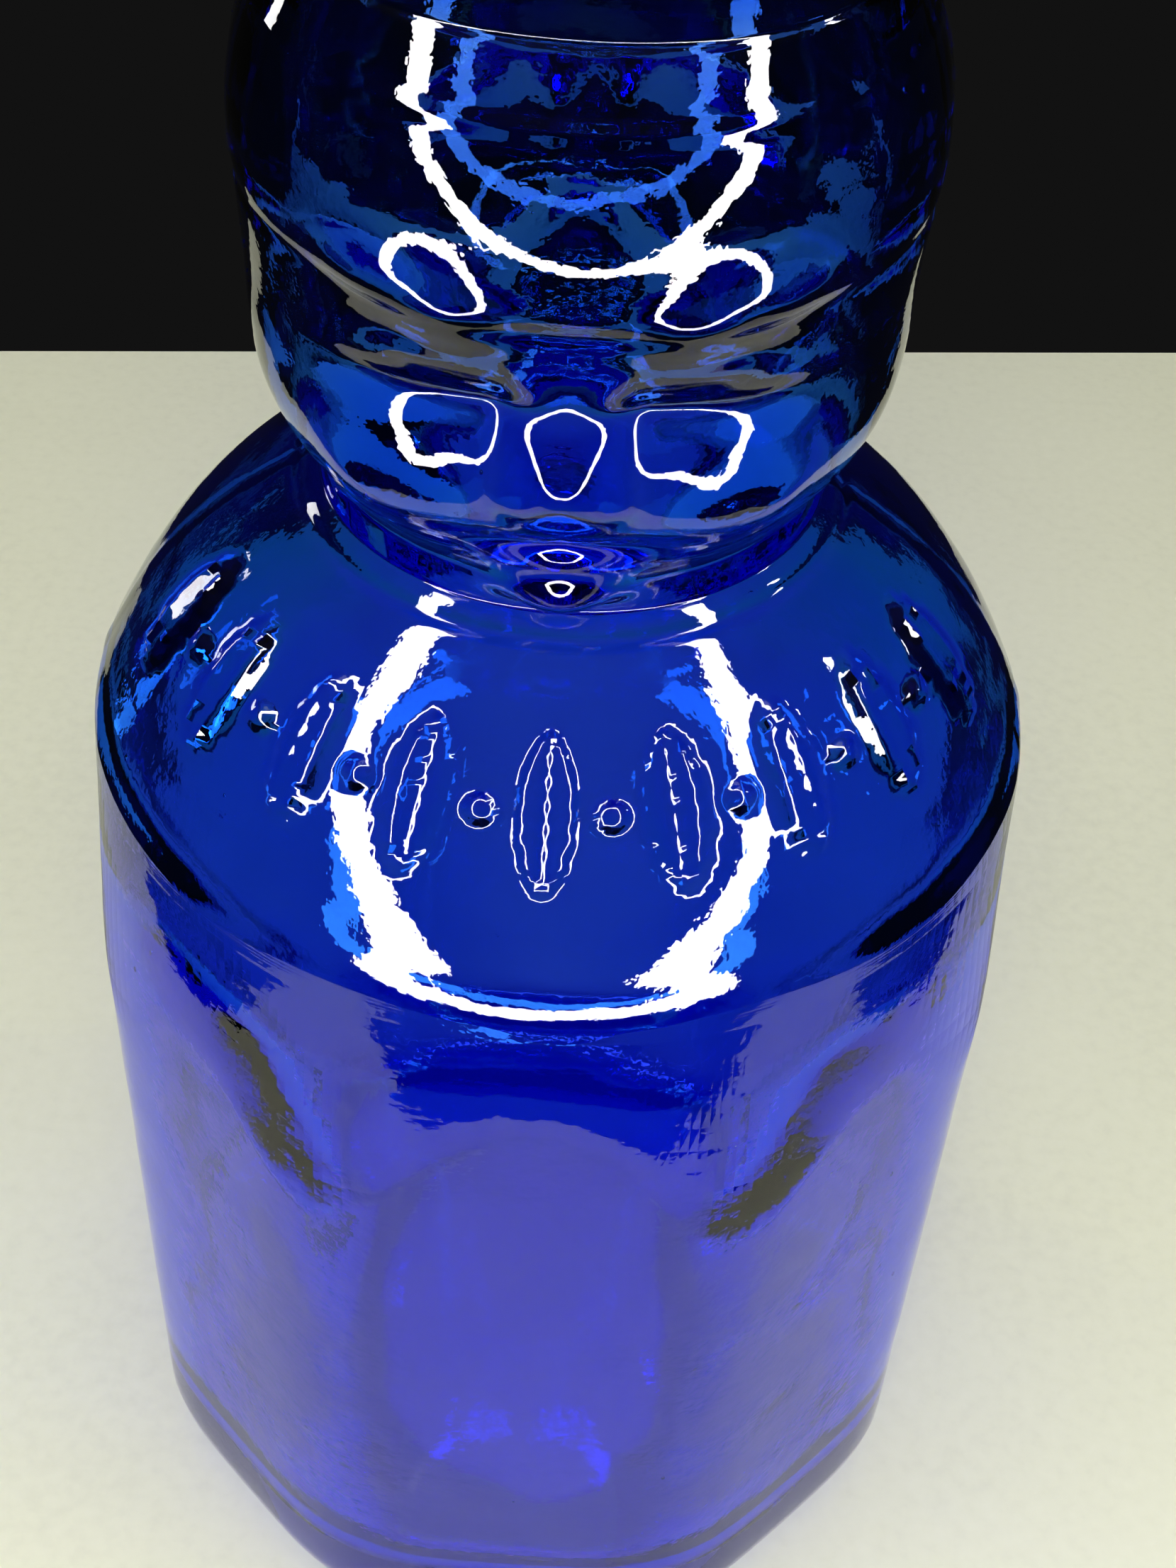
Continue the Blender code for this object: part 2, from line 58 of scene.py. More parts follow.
# %% Place the camera
CAMERA_PLACE = (0.0035, -0.1748, 0.2671)
CAMERA_TURN = (0.8126, -0.0453, 0.0429)
LENS_MM = 49.91
FILM_MM = 36.0
NEAREST_SEEN = 0.01

camera_data = bpy.data.cameras.new("camera")
camera_data.lens = LENS_MM
camera_data.sensor_width = FILM_MM
camera_data.clip_start = NEAREST_SEEN
camera = bpy.data.objects.new("camera", camera_data)
camera.location = CAMERA_PLACE
camera.rotation_euler = CAMERA_TURN
scene.collection.objects.link(camera)
scene.camera = camera
print("camera looks down by", round(90 - math.degrees(CAMERA_TURN[0]), 1), "degrees")

# %% [markdown]
# ## Shader helpers
# A finish is a small net of nodes. Writing each node out in full hides the idea, so a few short
# helpers add a node, join two sockets and start a material.

# %% Node helpers
def add_node(tree, kind, **settings):
    """Add a node and set its properties, or its inputs where the name is a socket's."""
    node = tree.nodes.new(kind)
    for name, value in settings.items():
        if hasattr(node, name):
            setattr(node, name, value)
        else:
            node.inputs[name.replace("_", " ")].default_value = value
    return node


def join(tree, start, end):
    tree.links.new(start, end)


def start_material(name):
    """A new material, with its node tree, its Principled shader and its output."""
    material = bpy.data.materials.new(name)
    material.use_nodes = True
    tree = material.node_tree
    return material, tree, tree.nodes["Principled BSDF"], tree.nodes["Material Output"]


# %% [markdown]
# ## Noise groups
# Glass, board, paper and the table all vary a little over their surface. Each material could
# hold its own noise, but one node group, made once, keeps them alike. It mixes two sizes of noise,
# taken from the object's own coordinates, and gives out a mask. Each material sets its own sizes.

# %% A group for soft mottling
def make_mottle_group():
    """Two noises and their blend, with named inputs for their sizes."""
    group = bpy.data.node_groups.new("mottle", "ShaderNodeTree")
    for name, value in (("Scale", 100.0), ("Fine Scale", 900.0), ("Fine Share", 0.4)):
        socket = group.interface.new_socket(name, in_out="INPUT", socket_type="NodeSocketFloat")
        socket.default_value = value
    group.interface.new_socket("Mask", in_out="OUTPUT", socket_type="NodeSocketFloat")
    entry = group.nodes.new("NodeGroupInput")
    leave = group.nodes.new("NodeGroupOutput")
    place = group.nodes.new("ShaderNodeTexCoord")
    coarse = add_node(group, "ShaderNodeTexNoise", Detail=3.0)
    fine = add_node(group, "ShaderNodeTexNoise", Detail=2.0)
    blend = add_node(group, "ShaderNodeMix", data_type="FLOAT")
    for texture, scale in ((coarse, "Scale"), (fine, "Fine Scale")):
        join(group, place.outputs["Object"], texture.inputs["Vector"])
        join(group, entry.outputs[scale], texture.inputs["Scale"])
    join(group, entry.outputs["Fine Share"], blend.inputs["Factor"])
    join(group, coarse.outputs["Fac"], blend.inputs["A"])
    join(group, fine.outputs["Fac"], blend.inputs["B"])
    join(group, blend.outputs["Result"], leave.inputs["Mask"])
    return group


MOTTLE = make_mottle_group()


def add_mottle(tree, scale, fine_scale, fine_share):
    """Place the group in a material and return its mask."""
    node = tree.nodes.new("ShaderNodeGroup")
    node.node_tree = MOTTLE
    node.inputs["Scale"].default_value = scale
    node.inputs["Fine Scale"].default_value = fine_scale
    node.inputs["Fine Share"].default_value = fine_share
    return node.outputs["Mask"]


def add_ramp(tree, mask, stops):
    """Colour over a mask. Each stop is a place on the mask and a colour."""
    ramp = tree.nodes.new("ShaderNodeValToRGB")
    elements = ramp.color_ramp.elements
    while len(elements) < len(stops):
        elements.new(0.5)
    for element, (place, colour) in zip(elements, stops):
        element.position = place
        element.color = (*colour, 1.0)
    join(tree, mask, ramp.inputs["Fac"])
    return ramp.outputs["Color"]


# %% [markdown]
# ## Table
# The bottle stands on a pale painted board whose far edge crosses the picture behind the head, a
# little askew. Past that edge it is dark. A wide plane and a backdrop would hide the bottle from
# the back, so a slab with rounded edges is used, turned by a few degrees. The board is small on
# purpose: the glass mirrors it, and where the mirrored board ends, the flanks turn from hazy to
# clear blue.

# %% Cut the table board
TABLE_BACK = 0.2516
TABLE_FRONT = -0.175
TABLE_SIDE = 0.19
TABLE_TURN = 0.112
TABLE_THICKNESS = 0.024
TABLE_EDGE = 0.003
TABLE_EDGE_STEPS = 3

table_mesh = bmesh.new()
bmesh.ops.create_cube(table_mesh, size=1.0)
bmesh.ops.scale(
    table_mesh, verts=table_mesh.verts,
    vec=(2 * TABLE_SIDE, TABLE_BACK - TABLE_FRONT, TABLE_THICKNESS))
bmesh.ops.translate(
    table_mesh, verts=table_mesh.verts,
    vec=(0, (TABLE_BACK + TABLE_FRONT) / 2, -TABLE_THICKNESS / 2))
bmesh.ops.rotate(
    table_mesh, verts=table_mesh.verts, matrix=Matrix.Rotation(TABLE_TURN, 3, "Z"))
bmesh.ops.bevel(
    table_mesh, geom=table_mesh.edges, offset=TABLE_EDGE, segments=TABLE_EDGE_STEPS,
    affect="EDGES")
table_data = bpy.data.meshes.new("table")
table_mesh.to_mesh(table_data)
table_mesh.free()
table = bpy.data.objects.new("table", table_data)
scene.collection.objects.link(table)
print("table is", round(TABLE_BACK - TABLE_FRONT, 2), "m deep")

# %% Paint the table
TABLE_ROUGHNESS = 0.55
TABLE_GRAIN_STRENGTH = 0.15
TABLE_GRAIN_DEPTH = 0.0004
# Place on the mask, colour
TABLE_COLOURS = (
    (0.30, (0.76, 0.77, 0.56)), (0.50, (0.81, 0.82, 0.60)), (0.75, (0.84, 0.85, 0.63)))

table_paint, tree, shader, _ = start_material("table_paint")
mask = add_mottle(tree, scale=14.0, fine_scale=420.0, fine_share=0.5)
paint = add_ramp(tree, mask, TABLE_COLOURS)
join(tree, paint, shader.inputs["Base Color"])
shader.inputs["Roughness"].default_value = TABLE_ROUGHNESS
grain = add_node(
    tree, "ShaderNodeBump", Strength=TABLE_GRAIN_STRENGTH, Distance=TABLE_GRAIN_DEPTH)
join(tree, mask, grain.inputs["Height"])
join(tree, grain.outputs["Normal"], shader.inputs["Normal"])
table_data.materials.append(table_paint)
print("painted the table in", len(TABLE_COLOURS), "tones")

# %% [markdown]
# ## Light
# The white loops on the forehead, the cheeks and the shoulder are one lamp seen again and again:
# a ring that stands around the lens. An area lamp would leave filled patches, so the ring is made
# of glowing faces, and its size sets how wide each loop runs.

# %% Make the ring lamp
MM_PER_M = 1000
RING_INNER = 0.200
RING_OUTER = 0.253
RING_SIDES = 128

ring_mesh = bmesh.new()
circles = []
for radius in (RING_INNER, RING_OUTER):
    circle = []
    for step in range(RING_SIDES):
        turn = math.tau * step / RING_SIDES
        circle.append(ring_mesh.verts.new((radius * math.cos(turn), radius * math.sin(turn), 0)))
    circles.append(circle)
inner_circle, outer_circle = circles
for step in range(RING_SIDES):
    after = (step + 1) % RING_SIDES
    ring_mesh.faces.new((
        inner_circle[step], inner_circle[after], outer_circle[after], outer_circle[step]))
ring_data = bpy.data.meshes.new("ring_lamp")
ring_mesh.to_mesh(ring_data)
ring_mesh.free()
ring_lamp = bpy.data.objects.new("ring_lamp", ring_data)
ring_lamp.matrix_world = camera.matrix_basis
scene.collection.objects.link(ring_lamp)
ring_lamp.visible_camera = False
ring_lamp.visible_shadow = False
print("ring lamp", round(2 * MM_PER_M * RING_OUTER), "mm across")

# %% [markdown]
# Glass mirrors only a few per cent of what it sees, so a lamp that makes bright loops would flood
# the table with light. The ring is therefore strong where the eye sees it in the glass, and weak
# in the light that it sheds. One emission does both: its strength hangs on whether the ray has
# already met a dull surface.

# %% Make the ring glow
RING_SHED_STRENGTH = 5.0
RING_MIRROR_STRENGTH = 26.0
RING_COLOUR = (1.0, 0.985, 0.96)
BEFORE_FIRST_DULL_BOUNCE = 0.5

ring_glow = bpy.data.materials.new("ring_glow")
ring_glow.use_nodes = True
tree = ring_glow.node_tree
tree.nodes.remove(tree.nodes["Principled BSDF"])
rays = tree.nodes.new("ShaderNodeLightPath")
unscattered = add_node(tree, "ShaderNodeMath", operation="LESS_THAN")
unscattered.inputs[1].default_value = BEFORE_FIRST_DULL_BOUNCE
join(tree, rays.outputs["Diffuse Depth"], unscattered.inputs[0])
strength = add_node(tree, "ShaderNodeMix", data_type="FLOAT")
strength.inputs["A"].default_value = RING_SHED_STRENGTH
strength.inputs["B"].default_value = RING_MIRROR_STRENGTH
glow = add_node(tree, "ShaderNodeEmission", Color=(*RING_COLOUR, 1.0))
join(tree, unscattered.outputs["Value"], strength.inputs["Factor"])
join(tree, strength.outputs["Result"], glow.inputs["Strength"])
join(tree, glow.outputs["Emission"], tree.nodes["Material Output"].inputs["Surface"])
ring_data.materials.append(ring_glow)
print("ring glows", RING_MIRROR_STRENGTH / RING_SHED_STRENGTH, "times as strongly in the glass")

# %% [markdown]
# A soft box in front gives most of the light on the table, so the board is brighter near the
# camera. The glass doesn't mirror it, because its image would be a patch that the picture lacks.
# One box overhead, one to the left and a small window to the right keep the glass alive from every
# other side. The world could light all of it evenly, but then the glass would lose its dark
# depths, so it stays dark behind the bottle and is a little lighter overhead.

# %% Add the soft boxes
BOTTLE_MIDDLE = Vector((0, 0, 0.11))
# Place, size, power, and whether the glass shows it
SOFT_BOXES = {
    "front_box": ((0.0, -0.75, 0.70), (0.5, 0.5), 5.6, False),
    "top_box": ((0.0, 0.15, 1.10), (0.7, 0.5), 1.5, True),
    "left_box": ((-0.95, 0.55, 0.30), (0.12, 0.35), 1.2, True),
    "right_window": ((0.80, 0.10, 0.62), (0.05, 0.12), 0.5, True),
}


def add_soft_box(name, place, size, power, shown):
    """An area lamp that looks at the middle of the bottle."""
    data = bpy.data.lights.new(name, "AREA")
    data.shape = "RECTANGLE"
    data.size, data.size_y = size
    data.energy = power
    lamp = bpy.data.objects.new(name, data)
    lamp.location = place
    aim = BOTTLE_MIDDLE - Vector(place)
    lamp.rotation_euler = aim.to_track_quat("-Z", "Y").to_euler()
    lamp.visible_glossy = shown
    lamp.visible_transmission = shown
    scene.collection.objects.link(lamp)


for name, settings in SOFT_BOXES.items():
    add_soft_box(name, *settings)
print("lamps:", ", ".join(SOFT_BOXES))

# %% Set the world
SKY_LOWEST = -0.2
# Height share of the sky, grey
SKY_GREYS = (
    (0.0, (0.006, 0.006, 0.006)), (0.45, (0.007, 0.007, 0.007)), (1.0, (0.08, 0.08, 0.08)))

world = bpy.data.worlds.new("studio")
world.use_nodes = True
scene.world = world
tree = world.node_tree
background = tree.nodes["Background"]
place = tree.nodes.new("ShaderNodeTexCoord")
split = tree.nodes.new("ShaderNodeSeparateXYZ")
join(tree, place.outputs["Generated"], split.inputs["Vector"])
height_mask = add_node(tree, "ShaderNodeMapRange", From_Min=SKY_LOWEST, From_Max=1.0)
join(tree, split.outputs["Z"], height_mask.inputs["Value"])
sky = add_ramp(tree, height_mask.outputs["Result"], SKY_GREYS)
join(tree, sky, background.inputs["Color"])
print("world:", world.name)

# %% [markdown]
# ## Body of the bottle
# A dairyman's crate holds square bottles, so the body is a square with broad cut corners, and
# the mould has softened every edge. A bevelled box could make it, but its bevels would meet the
# shoulder badly. A rounded octagon is easy to write as a sum of eight flat sides, each raised to a
# high power: the higher the power, the sharper the edges.

# %% Body shape
BODY_WIDTH = 0.0970
CORNER_WIDTH = 0.0991
EDGE_SHARPNESS = 17.8
EDGE_FADE_START = 0.0880
EDGE_FADE_END = 0.1240


def body_outline(angles, half_width, half_corner, sharpness):
    """Distances to a soft-edged octagon at these angles."""
    total = np.zeros_like(angles)
    for side in range(4):
        for turn, half in ((0.0, half_width), (math.pi / 4, half_corner)):
            facing = np.cos(angles - side * math.pi / 2 - turn).clip(0)
            total += (facing / half) ** sharpness
    return total ** (-1 / sharpness)


def edge_share(height):
    """How much of the flat-sided outline is left: all on the flank, none high on the shoulder."""
    fade = min(1, max(0, (height - EDGE_FADE_START) / (EDGE_FADE_END - EDGE_FADE_START)))
    return 1 - fade * fade * (3 - 2 * fade)


def body_ring(outline, half_width, height):
    """Radii of the body, whose corners fade out towards the round shoulder."""
    return half_width + (outline - half_width) * edge_share(height)


print("body is", round(MM_PER_M * BODY_WIDTH), "mm wide")

# %% [markdown]
# The shoulder is a dome turned from the body in to the waist, and the octagon's edges fade out as
# they run up into it. Its profile could be a Bezier curve drawn by hand. A short list of heights
# and widths, joined by a smooth curve, is easier to correct where the mirrored ring runs too high
# or too low.

# %% Shoulder shape
SHOULDER_START = 0.1150
WAIST_HEIGHT = 0.1464
WAIST_RADIUS = 0.0243
WAIST_FILLET = 0.0008
SHOULDER_TOP = WAIST_HEIGHT - WAIST_FILLET
# Height share of the shoulder, share of its width that is left outside the waist
SHOULDER_PROFILE_SHARES = (
    (0.000, 1.000), (0.065, 0.995), (0.131, 0.973), (0.196, 0.936), (0.278, 0.883),
    (0.360, 0.824), (0.458, 0.746), (0.572, 0.638), (0.686, 0.504), (0.797, 0.347),
    (0.856, 0.248), (0.922, 0.134), (1.000, 0.000),
)


def smooth_curve(points, place):
    """Cubic through the points, with the slope at each one taken from its neighbours."""
    last = len(points) - 1
    slopes = []
    for index in range(last + 1):
        before = points[max(index - 1, 0)]
        after = points[min(index + 1, last)]
        slopes.append((after[1] - before[1]) / (after[0] - before[0]))
    index = 0
    while index < last - 1 and place > points[index + 1][0]:
        index += 1
    start, end = points[index], points[index + 1]
    span = end[0] - start[0]
    t = (place - start[0]) / span
    rise = end[1] - start[1]
    bend_start = slopes[index] * span - rise
    bend_end = rise - slopes[index + 1] * span
    return start[1] + rise * t + t * (1 - t) * (bend_start * (1 - t) + bend_end * t)


def shoulder_ring(outline, half_width, waist_radius, top, height):
    """Radii of the shoulder, a turned dome that still carries the last of the corners."""
    share = (height - SHOULDER_START) / (top - SHOULDER_START)
    drawn_in = (half_width - waist_radius) * (1 - smooth_curve(SHOULDER_PROFILE_SHARES, share))
    return body_ring(outline, half_width, height) - drawn_in


print("shoulder rises", round(MM_PER_M * (SHOULDER_TOP - SHOULDER_START), 1), "mm")

# %% [markdown]
# ## Head
# The neck of the bottle is a doll-like head with one face at the front and one at the back. It
# could be sculpted, but here it is turned first and modelled after, so that every part of it has a
# number. Its plain shape is a table of radii from waist to crown, joined by a smooth curve. The
# features are soft hills and hollows laid on that shape. Hills made of bell curves melt into one
# another as pressed glass does.

# %% Head profile
HEAD_RADIUS = 0.0308
HEAD_TOP = 0.1988
# Height share of the head, share of its largest radius
HEAD_PROFILE_SHARES = (
    (0.000, 0.789), (0.030, 0.790), (0.053, 0.793), (0.080, 0.806), (0.110, 0.838),
    (0.140, 0.878), (0.190, 0.925), (0.256, 0.961), (0.350, 0.974), (0.444, 0.977),
    (0.567, 0.990), (0.661, 1.000), (0.727, 0.995), (0.802, 0.971), (0.878, 0.925),
    (0.944, 0.873), (1.000, 0.822),
)


def head_radius(height):
    share = (height - WAIST_HEIGHT) / (HEAD_TOP - WAIST_HEIGHT)
    return HEAD_RADIUS * smooth_curve(HEAD_PROFILE_SHARES, share)


print("head is", round(2 * MM_PER_M * HEAD_RADIUS, 1), "mm across at the brow")

# %% Face relief
CHIN_HEIGHT = 0.1485
FACE_START_HEIGHT = 0.0022
FACE_COUNT = 2
# Place across and above the chin, half width, half height and rise, in shares of the head's radius
FACE_FEATURE_SHARES = {
    "forehead": (0.00, 1.02, 0.60, 0.30, 0.020),
    "brow_inner": (0.31, 0.95, 0.13, 0.08, 0.040),
    "brow_outer": (0.50, 1.03, 0.19, 0.10, 0.055),
    "lid_inner": (0.27, 0.71, 0.17, 0.05, -0.035),
    "lid_outer": (0.55, 0.69, 0.17, 0.05, -0.028),
    "eyeball": (0.36, 0.83, 0.14, 0.05, 0.020),
    "nose_tip": (0.00, 0.51, 0.14, 0.16, 0.130),
    "nose_fold": (0.20, 0.67, 0.06, 0.09, -0.022),
    "nostril": (0.11, 0.43, 0.07, 0.07, 0.020),
    "cheek": (0.48, 0.42, 0.28, 0.22, 0.110),
    "upper_lip": (0.06, 0.33, 0.13, 0.06, 0.030),
    "mouth": (0.00, 0.26, 0.20, 0.05, -0.035),
    "lower_lip": (0.00, 0.18, 0.13, 0.03, 0.012),
    "chin": (0.00, 0.04, 0.20, 0.11, 0.145),
}


def angle_from_face(angles):
    """Signed angle from the middle of the nearest face."""
    half_turn = math.tau / FACE_COUNT / 2
    return (angles + math.pi / 2 + half_turn) % (2 * half_turn) - half_turn


def face_relief(angles, height):
    """Rise of the faces above the plain turned head, at one height."""
    across = np.abs(angle_from_face(angles))
    above_chin = (height - CHIN_HEIGHT) / HEAD_RADIUS
    rise = np.zeros_like(angles)
    for place, level, half_width, half_height, depth in FACE_FEATURE_SHARES.values():
        sideways = ((across - place) / half_width) ** 2
        upward = ((above_chin - level) / half_height) ** 2
        rise += depth * np.exp(-sideways - upward)
    start = min(1, max(0, (height - WAIST_HEIGHT) / FACE_START_HEIGHT))
    return HEAD_RADIUS * rise * math.sin(start * math.pi / 2)


print("features:", ", ".join(FACE_FEATURE_SHARES))

# %% [markdown]
# ## Lip, throat and seat
# Above the crown comes a plain neck, then a rolled bead with a flat rim. Inside the rim is the
# ledge that the board cap drops onto. Bevels could round its edges, but all of it is turned, so a
# list of heights and radii is enough, with quarter circles at the edges.

# %% Lip rings
BOTTLE_HEIGHT = 0.2250
LIP_RADIUS = 0.0278
LIP_NECK_RADIUS = 0.0265
LIP_BEAD_HEIGHT = 0.0145
LIP_EDGE_RADIUS = 0.0020
THROAT_RADIUS = 0.0185
THROAT_LENGTH = 0.0120
SEAT_RADIUS = 0.0208
SEAT_DEPTH = 0.0048
SEAT_EDGE_RADIUS = 0.0008
SEAT_CORNER_RADIUS = 0.0003
EDGE_STEPS = 6


def quarter_turns():
    return [step / EDGE_STEPS * math.pi / 2 for step in range(EDGE_STEPS + 1)]


def lip_rings():
    """Heights and radii up the bead, across the rim and down the seat and throat."""
    bead_start = BOTTLE_HEIGHT - LIP_BEAD_HEIGHT
    bead_rise = LIP_RADIUS - LIP_NECK_RADIUS
    seat = BOTTLE_HEIGHT - SEAT_DEPTH
    rings = [(bead_start - LIP_EDGE_RADIUS, LIP_NECK_RADIUS)]
    for turn in quarter_turns():
        rings.append((
            bead_start + bead_rise * (1 - math.cos(turn)),
            LIP_NECK_RADIUS + bead_rise * math.sin(turn)))
    for turn in quarter_turns():
        rings.append((
            BOTTLE_HEIGHT - LIP_EDGE_RADIUS * (1 - math.sin(turn)),
            LIP_RADIUS - LIP_EDGE_RADIUS * (1 - math.cos(turn))))
    for turn in quarter_turns():
        rings.append((
            BOTTLE_HEIGHT - SEAT_EDGE_RADIUS * (1 - math.cos(turn)),
            SEAT_RADIUS + SEAT_EDGE_RADIUS * (1 - math.sin(turn))))
    rings.append((seat, SEAT_RADIUS))
    for turn in quarter_turns():
        rings.append((
            seat - SEAT_CORNER_RADIUS * (1 - math.sin(turn)),
            THROAT_RADIUS + SEAT_CORNER_RADIUS * (1 - math.sin(turn))))
    rings.append((seat - THROAT_LENGTH, THROAT_RADIUS))
    return rings


print(len(lip_rings()), "rings over the lip")

# %% [markdown]
# ## Rings of the outside
# The outside is a stack of rings from the push-up under the base to the throat. A coarse cage
# with a subdivision modifier would be quicker to draw, but it would round off the crisp ledges at
# waist and crown. Rings stand close together where there is something to see: over the shoulder's
# garland and over the faces. The columns crowd towards the faces for the same reason.

# %% Stack the outer rings
HEEL_RADIUS = 0.0088
PUSH_UP_RADIUS = 0.0300
PUSH_UP_HEIGHT = 0.0020
PUSH_UP_SLOPE = 0.0040
OUTER_COLUMNS = 264
COLUMN_CROWDING = 0.18
FLANK_ROWS = 34
SHOULDER_ROWS = 78
ROOT_ROWS = 12
ROOT_START = 0.1430
HEAD_ROWS = 104
CROWN_FILLET = 0.0010
WAIST_FILLET_DEGREES = (40, 0)
CROWN_FILLET_DEGREES = (34, -6)


def fillet_rings(start_height, radius, size, degrees):
    """Rings of a hollow corner, which turns from one lean of the surface to another."""
    turns = [math.radians(value) for value in np.linspace(*degrees, EDGE_STEPS)]
    base = start_height + size * math.sin(turns[0])
    return [(base - size * math.sin(turn), radius + size * (1 - math.cos(turn)))
            for turn in turns[1:]]


def crowded_angles(count):
    """Angles once around, closer together at the faces than at the sides."""
    turn = np.arange(count) * math.tau / count
    return turn - COLUMN_CROWDING * np.sin(FACE_COUNT * turn) - math.pi / 2


def outer_rings(angles):
    """Heights and radii of the outside, from the push-up under the base to the throat."""
    outline = body_outline(angles, BODY_WIDTH / 2, CORNER_WIDTH / 2, EDGE_SHARPNESS)
    plain = np.ones_like(angles)
    rings = [
        (PUSH_UP_HEIGHT, plain * (PUSH_UP_RADIUS - PUSH_UP_SLOPE)),
        (0, plain * PUSH_UP_RADIUS)]
    for turn in quarter_turns():
        rings.append((
            HEEL_RADIUS * (1 - math.cos(turn)), outline - HEEL_RADIUS * (1 - math.sin(turn))))
    for height in np.linspace(HEEL_RADIUS, SHOULDER_START, FLANK_ROWS + 1)[1:]:
        rings.append((height, body_ring(outline, BODY_WIDTH / 2, height)))
    shoulder_heights = [
        *np.linspace(SHOULDER_START, ROOT_START, SHOULDER_ROWS + 1)[1:],
        *np.linspace(ROOT_START, SHOULDER_TOP, ROOT_ROWS + 1)[1:-1]]
    for height in shoulder_heights:
        rings.append((height, shoulder_ring(
            outline, BODY_WIDTH / 2, WAIST_RADIUS, SHOULDER_TOP, height)))
    for height, radius in fillet_rings(
            rings[-1][0], WAIST_RADIUS, WAIST_FILLET, WAIST_FILLET_DEGREES):
        rings.append((height, plain * radius))
    top = HEAD_TOP - CROWN_FILLET / 2
    for height in np.linspace(rings[-1][0] + WAIST_FILLET / 2, top, HEAD_ROWS):
        rings.append((height, head_radius(height) + face_relief(angles, height)))
    for height, radius in fillet_rings(
            top, head_radius(HEAD_TOP), CROWN_FILLET, CROWN_FILLET_DEGREES):
        rings.append((height, plain * radius))
    return rings + [(height, plain * radius) for height, radius in lip_rings()]


outer_angles = crowded_angles(OUTER_COLUMNS)
outer_stack = outer_rings(outer_angles)
print(len(outer_stack), "rings of", OUTER_COLUMNS, "columns outside")

# %% [markdown]
# ## Rings of the inside
# The inside was blown, so it follows the outside only loosely: it keeps the wall's thickness but
# none of the face, and its corners are a little softer. A solidify modifier would copy every
# feature to the inside, so the inside gets rings of its own, from the throat down to the floor.

# %% Stack the inner rings
BODY_WALL = 0.0042
CORNER_WALL = 0.0058
WAIST_WALL = 0.0050
HEAD_WALL = 0.0042
BASE_THICKNESS = 0.0065
INNER_HEEL_RADIUS = 0.0100
INNER_EDGE_SHARPNESS = 15.0
INNER_COLUMNS = 144
INNER_HEAD_ROWS = 44
INNER_SHOULDER_ROWS = 24
INNER_FLANK_ROWS = 30
FLOOR_RING_SHARES = (0.75, 0.5, 0.25, 0.1)


def inner_rings(angles):
    """Heights and radii of the inside from under the throat to the floor."""
    plain = np.ones_like(angles)
    inner_half = BODY_WIDTH / 2 - BODY_WALL
    outline = body_outline(
        angles, inner_half, CORNER_WIDTH / 2 - CORNER_WALL, INNER_EDGE_SHARPNESS)
    inner_top = BOTTLE_HEIGHT - SEAT_DEPTH - THROAT_LENGTH
    crown = HEAD_TOP - 2 * HEAD_WALL
    crown_radius = head_radius(crown) - HEAD_WALL
    waist = WAIST_RADIUS - WAIST_WALL
    shoulder_top = SHOULDER_TOP - WAIST_WALL
    heel_top = BASE_THICKNESS + INNER_HEEL_RADIUS
    rings = []
    for step in range(1, EDGE_STEPS):
        share = step / EDGE_STEPS
        rings.append((
            inner_top + (crown - inner_top) * share,
            plain * (THROAT_RADIUS + (crown_radius - THROAT_RADIUS) * share)))
    for step in range(INNER_HEAD_ROWS):
        height = crown - (crown - WAIST_HEIGHT) * step / INNER_HEAD_ROWS
        rings.append((height, plain * (head_radius(height) - HEAD_WALL)))
    rings.append((WAIST_HEIGHT, plain * waist))
    rings.append((shoulder_top, plain * waist))
    for height in np.linspace(shoulder_top, SHOULDER_START, INNER_SHOULDER_ROWS + 1)[1:-1]:
        rings.append((height, shoulder_ring(outline, inner_half, waist, shoulder_top, height)))
    for height in np.linspace(SHOULDER_START, heel_top, INNER_FLANK_ROWS + 1)[:-1]:
        rings.append((height, body_ring(outline, inner_half, height)))
    for turn in reversed(quarter_turns()):
        rings.append((
            BASE_THICKNESS + INNER_HEEL_RADIUS * (1 - math.cos(turn)),
            outline - INNER_HEEL_RADIUS * (1 - math.sin(turn))))
    for share in FLOOR_RING_SHARES:
        rings.append((BASE_THICKNESS, (outline - INNER_HEEL_RADIUS) * share))
    return rings


inner_angles = np.arange(INNER_COLUMNS) * math.tau / INNER_COLUMNS - math.pi / 2
inner_stack = inner_rings(inner_angles)
print(len(inner_stack), "rings inside")

# %% [markdown]
# ## From rings to points
# Pressed relief stands square to the glass, on the flank and on the shoulder alike. A displace
# modifier could push it out, but its picture would have to be wrapped around the bottle first.
# With the points in a grid of rings and columns, the direction out of the glass simply follows
# from the neighbours of each point, and relief, seams and waves are pushed along it.

# %% Points and directions
SMALLEST_LENGTH = 1e-12


def ring_points(angles, stack):
    """A grid of points, one row for each ring."""
    heights = np.array([height for height, _ in stack])
    radii = np.array([radius for _, radius in stack])
    points = np.empty((*radii.shape, 3))
    points[..., 0] = radii * np.cos(angles)
    points[..., 1] = radii * np.sin(angles)
    points[..., 2] = heights[:, None]
    return points


def outward(points):
    """Unit direction out of the surface at each point of the grid."""
    around = np.roll(points, -1, axis=1) - np.roll(points, 1, axis=1)
    along = np.gradient(points, axis=0)
    direction = np.cross(around, along)
    return direction / np.linalg.norm(direction, axis=2, keepdims=True).clip(SMALLEST_LENGTH)


outer_points = ring_points(outer_angles, outer_stack)
outer_outward = outward(outer_points)
inner_points = ring_points(inner_angles, inner_stack)
inner_outward = -outward(inner_points)
print("outer points:", outer_points.shape[0] * outer_points.shape[1])

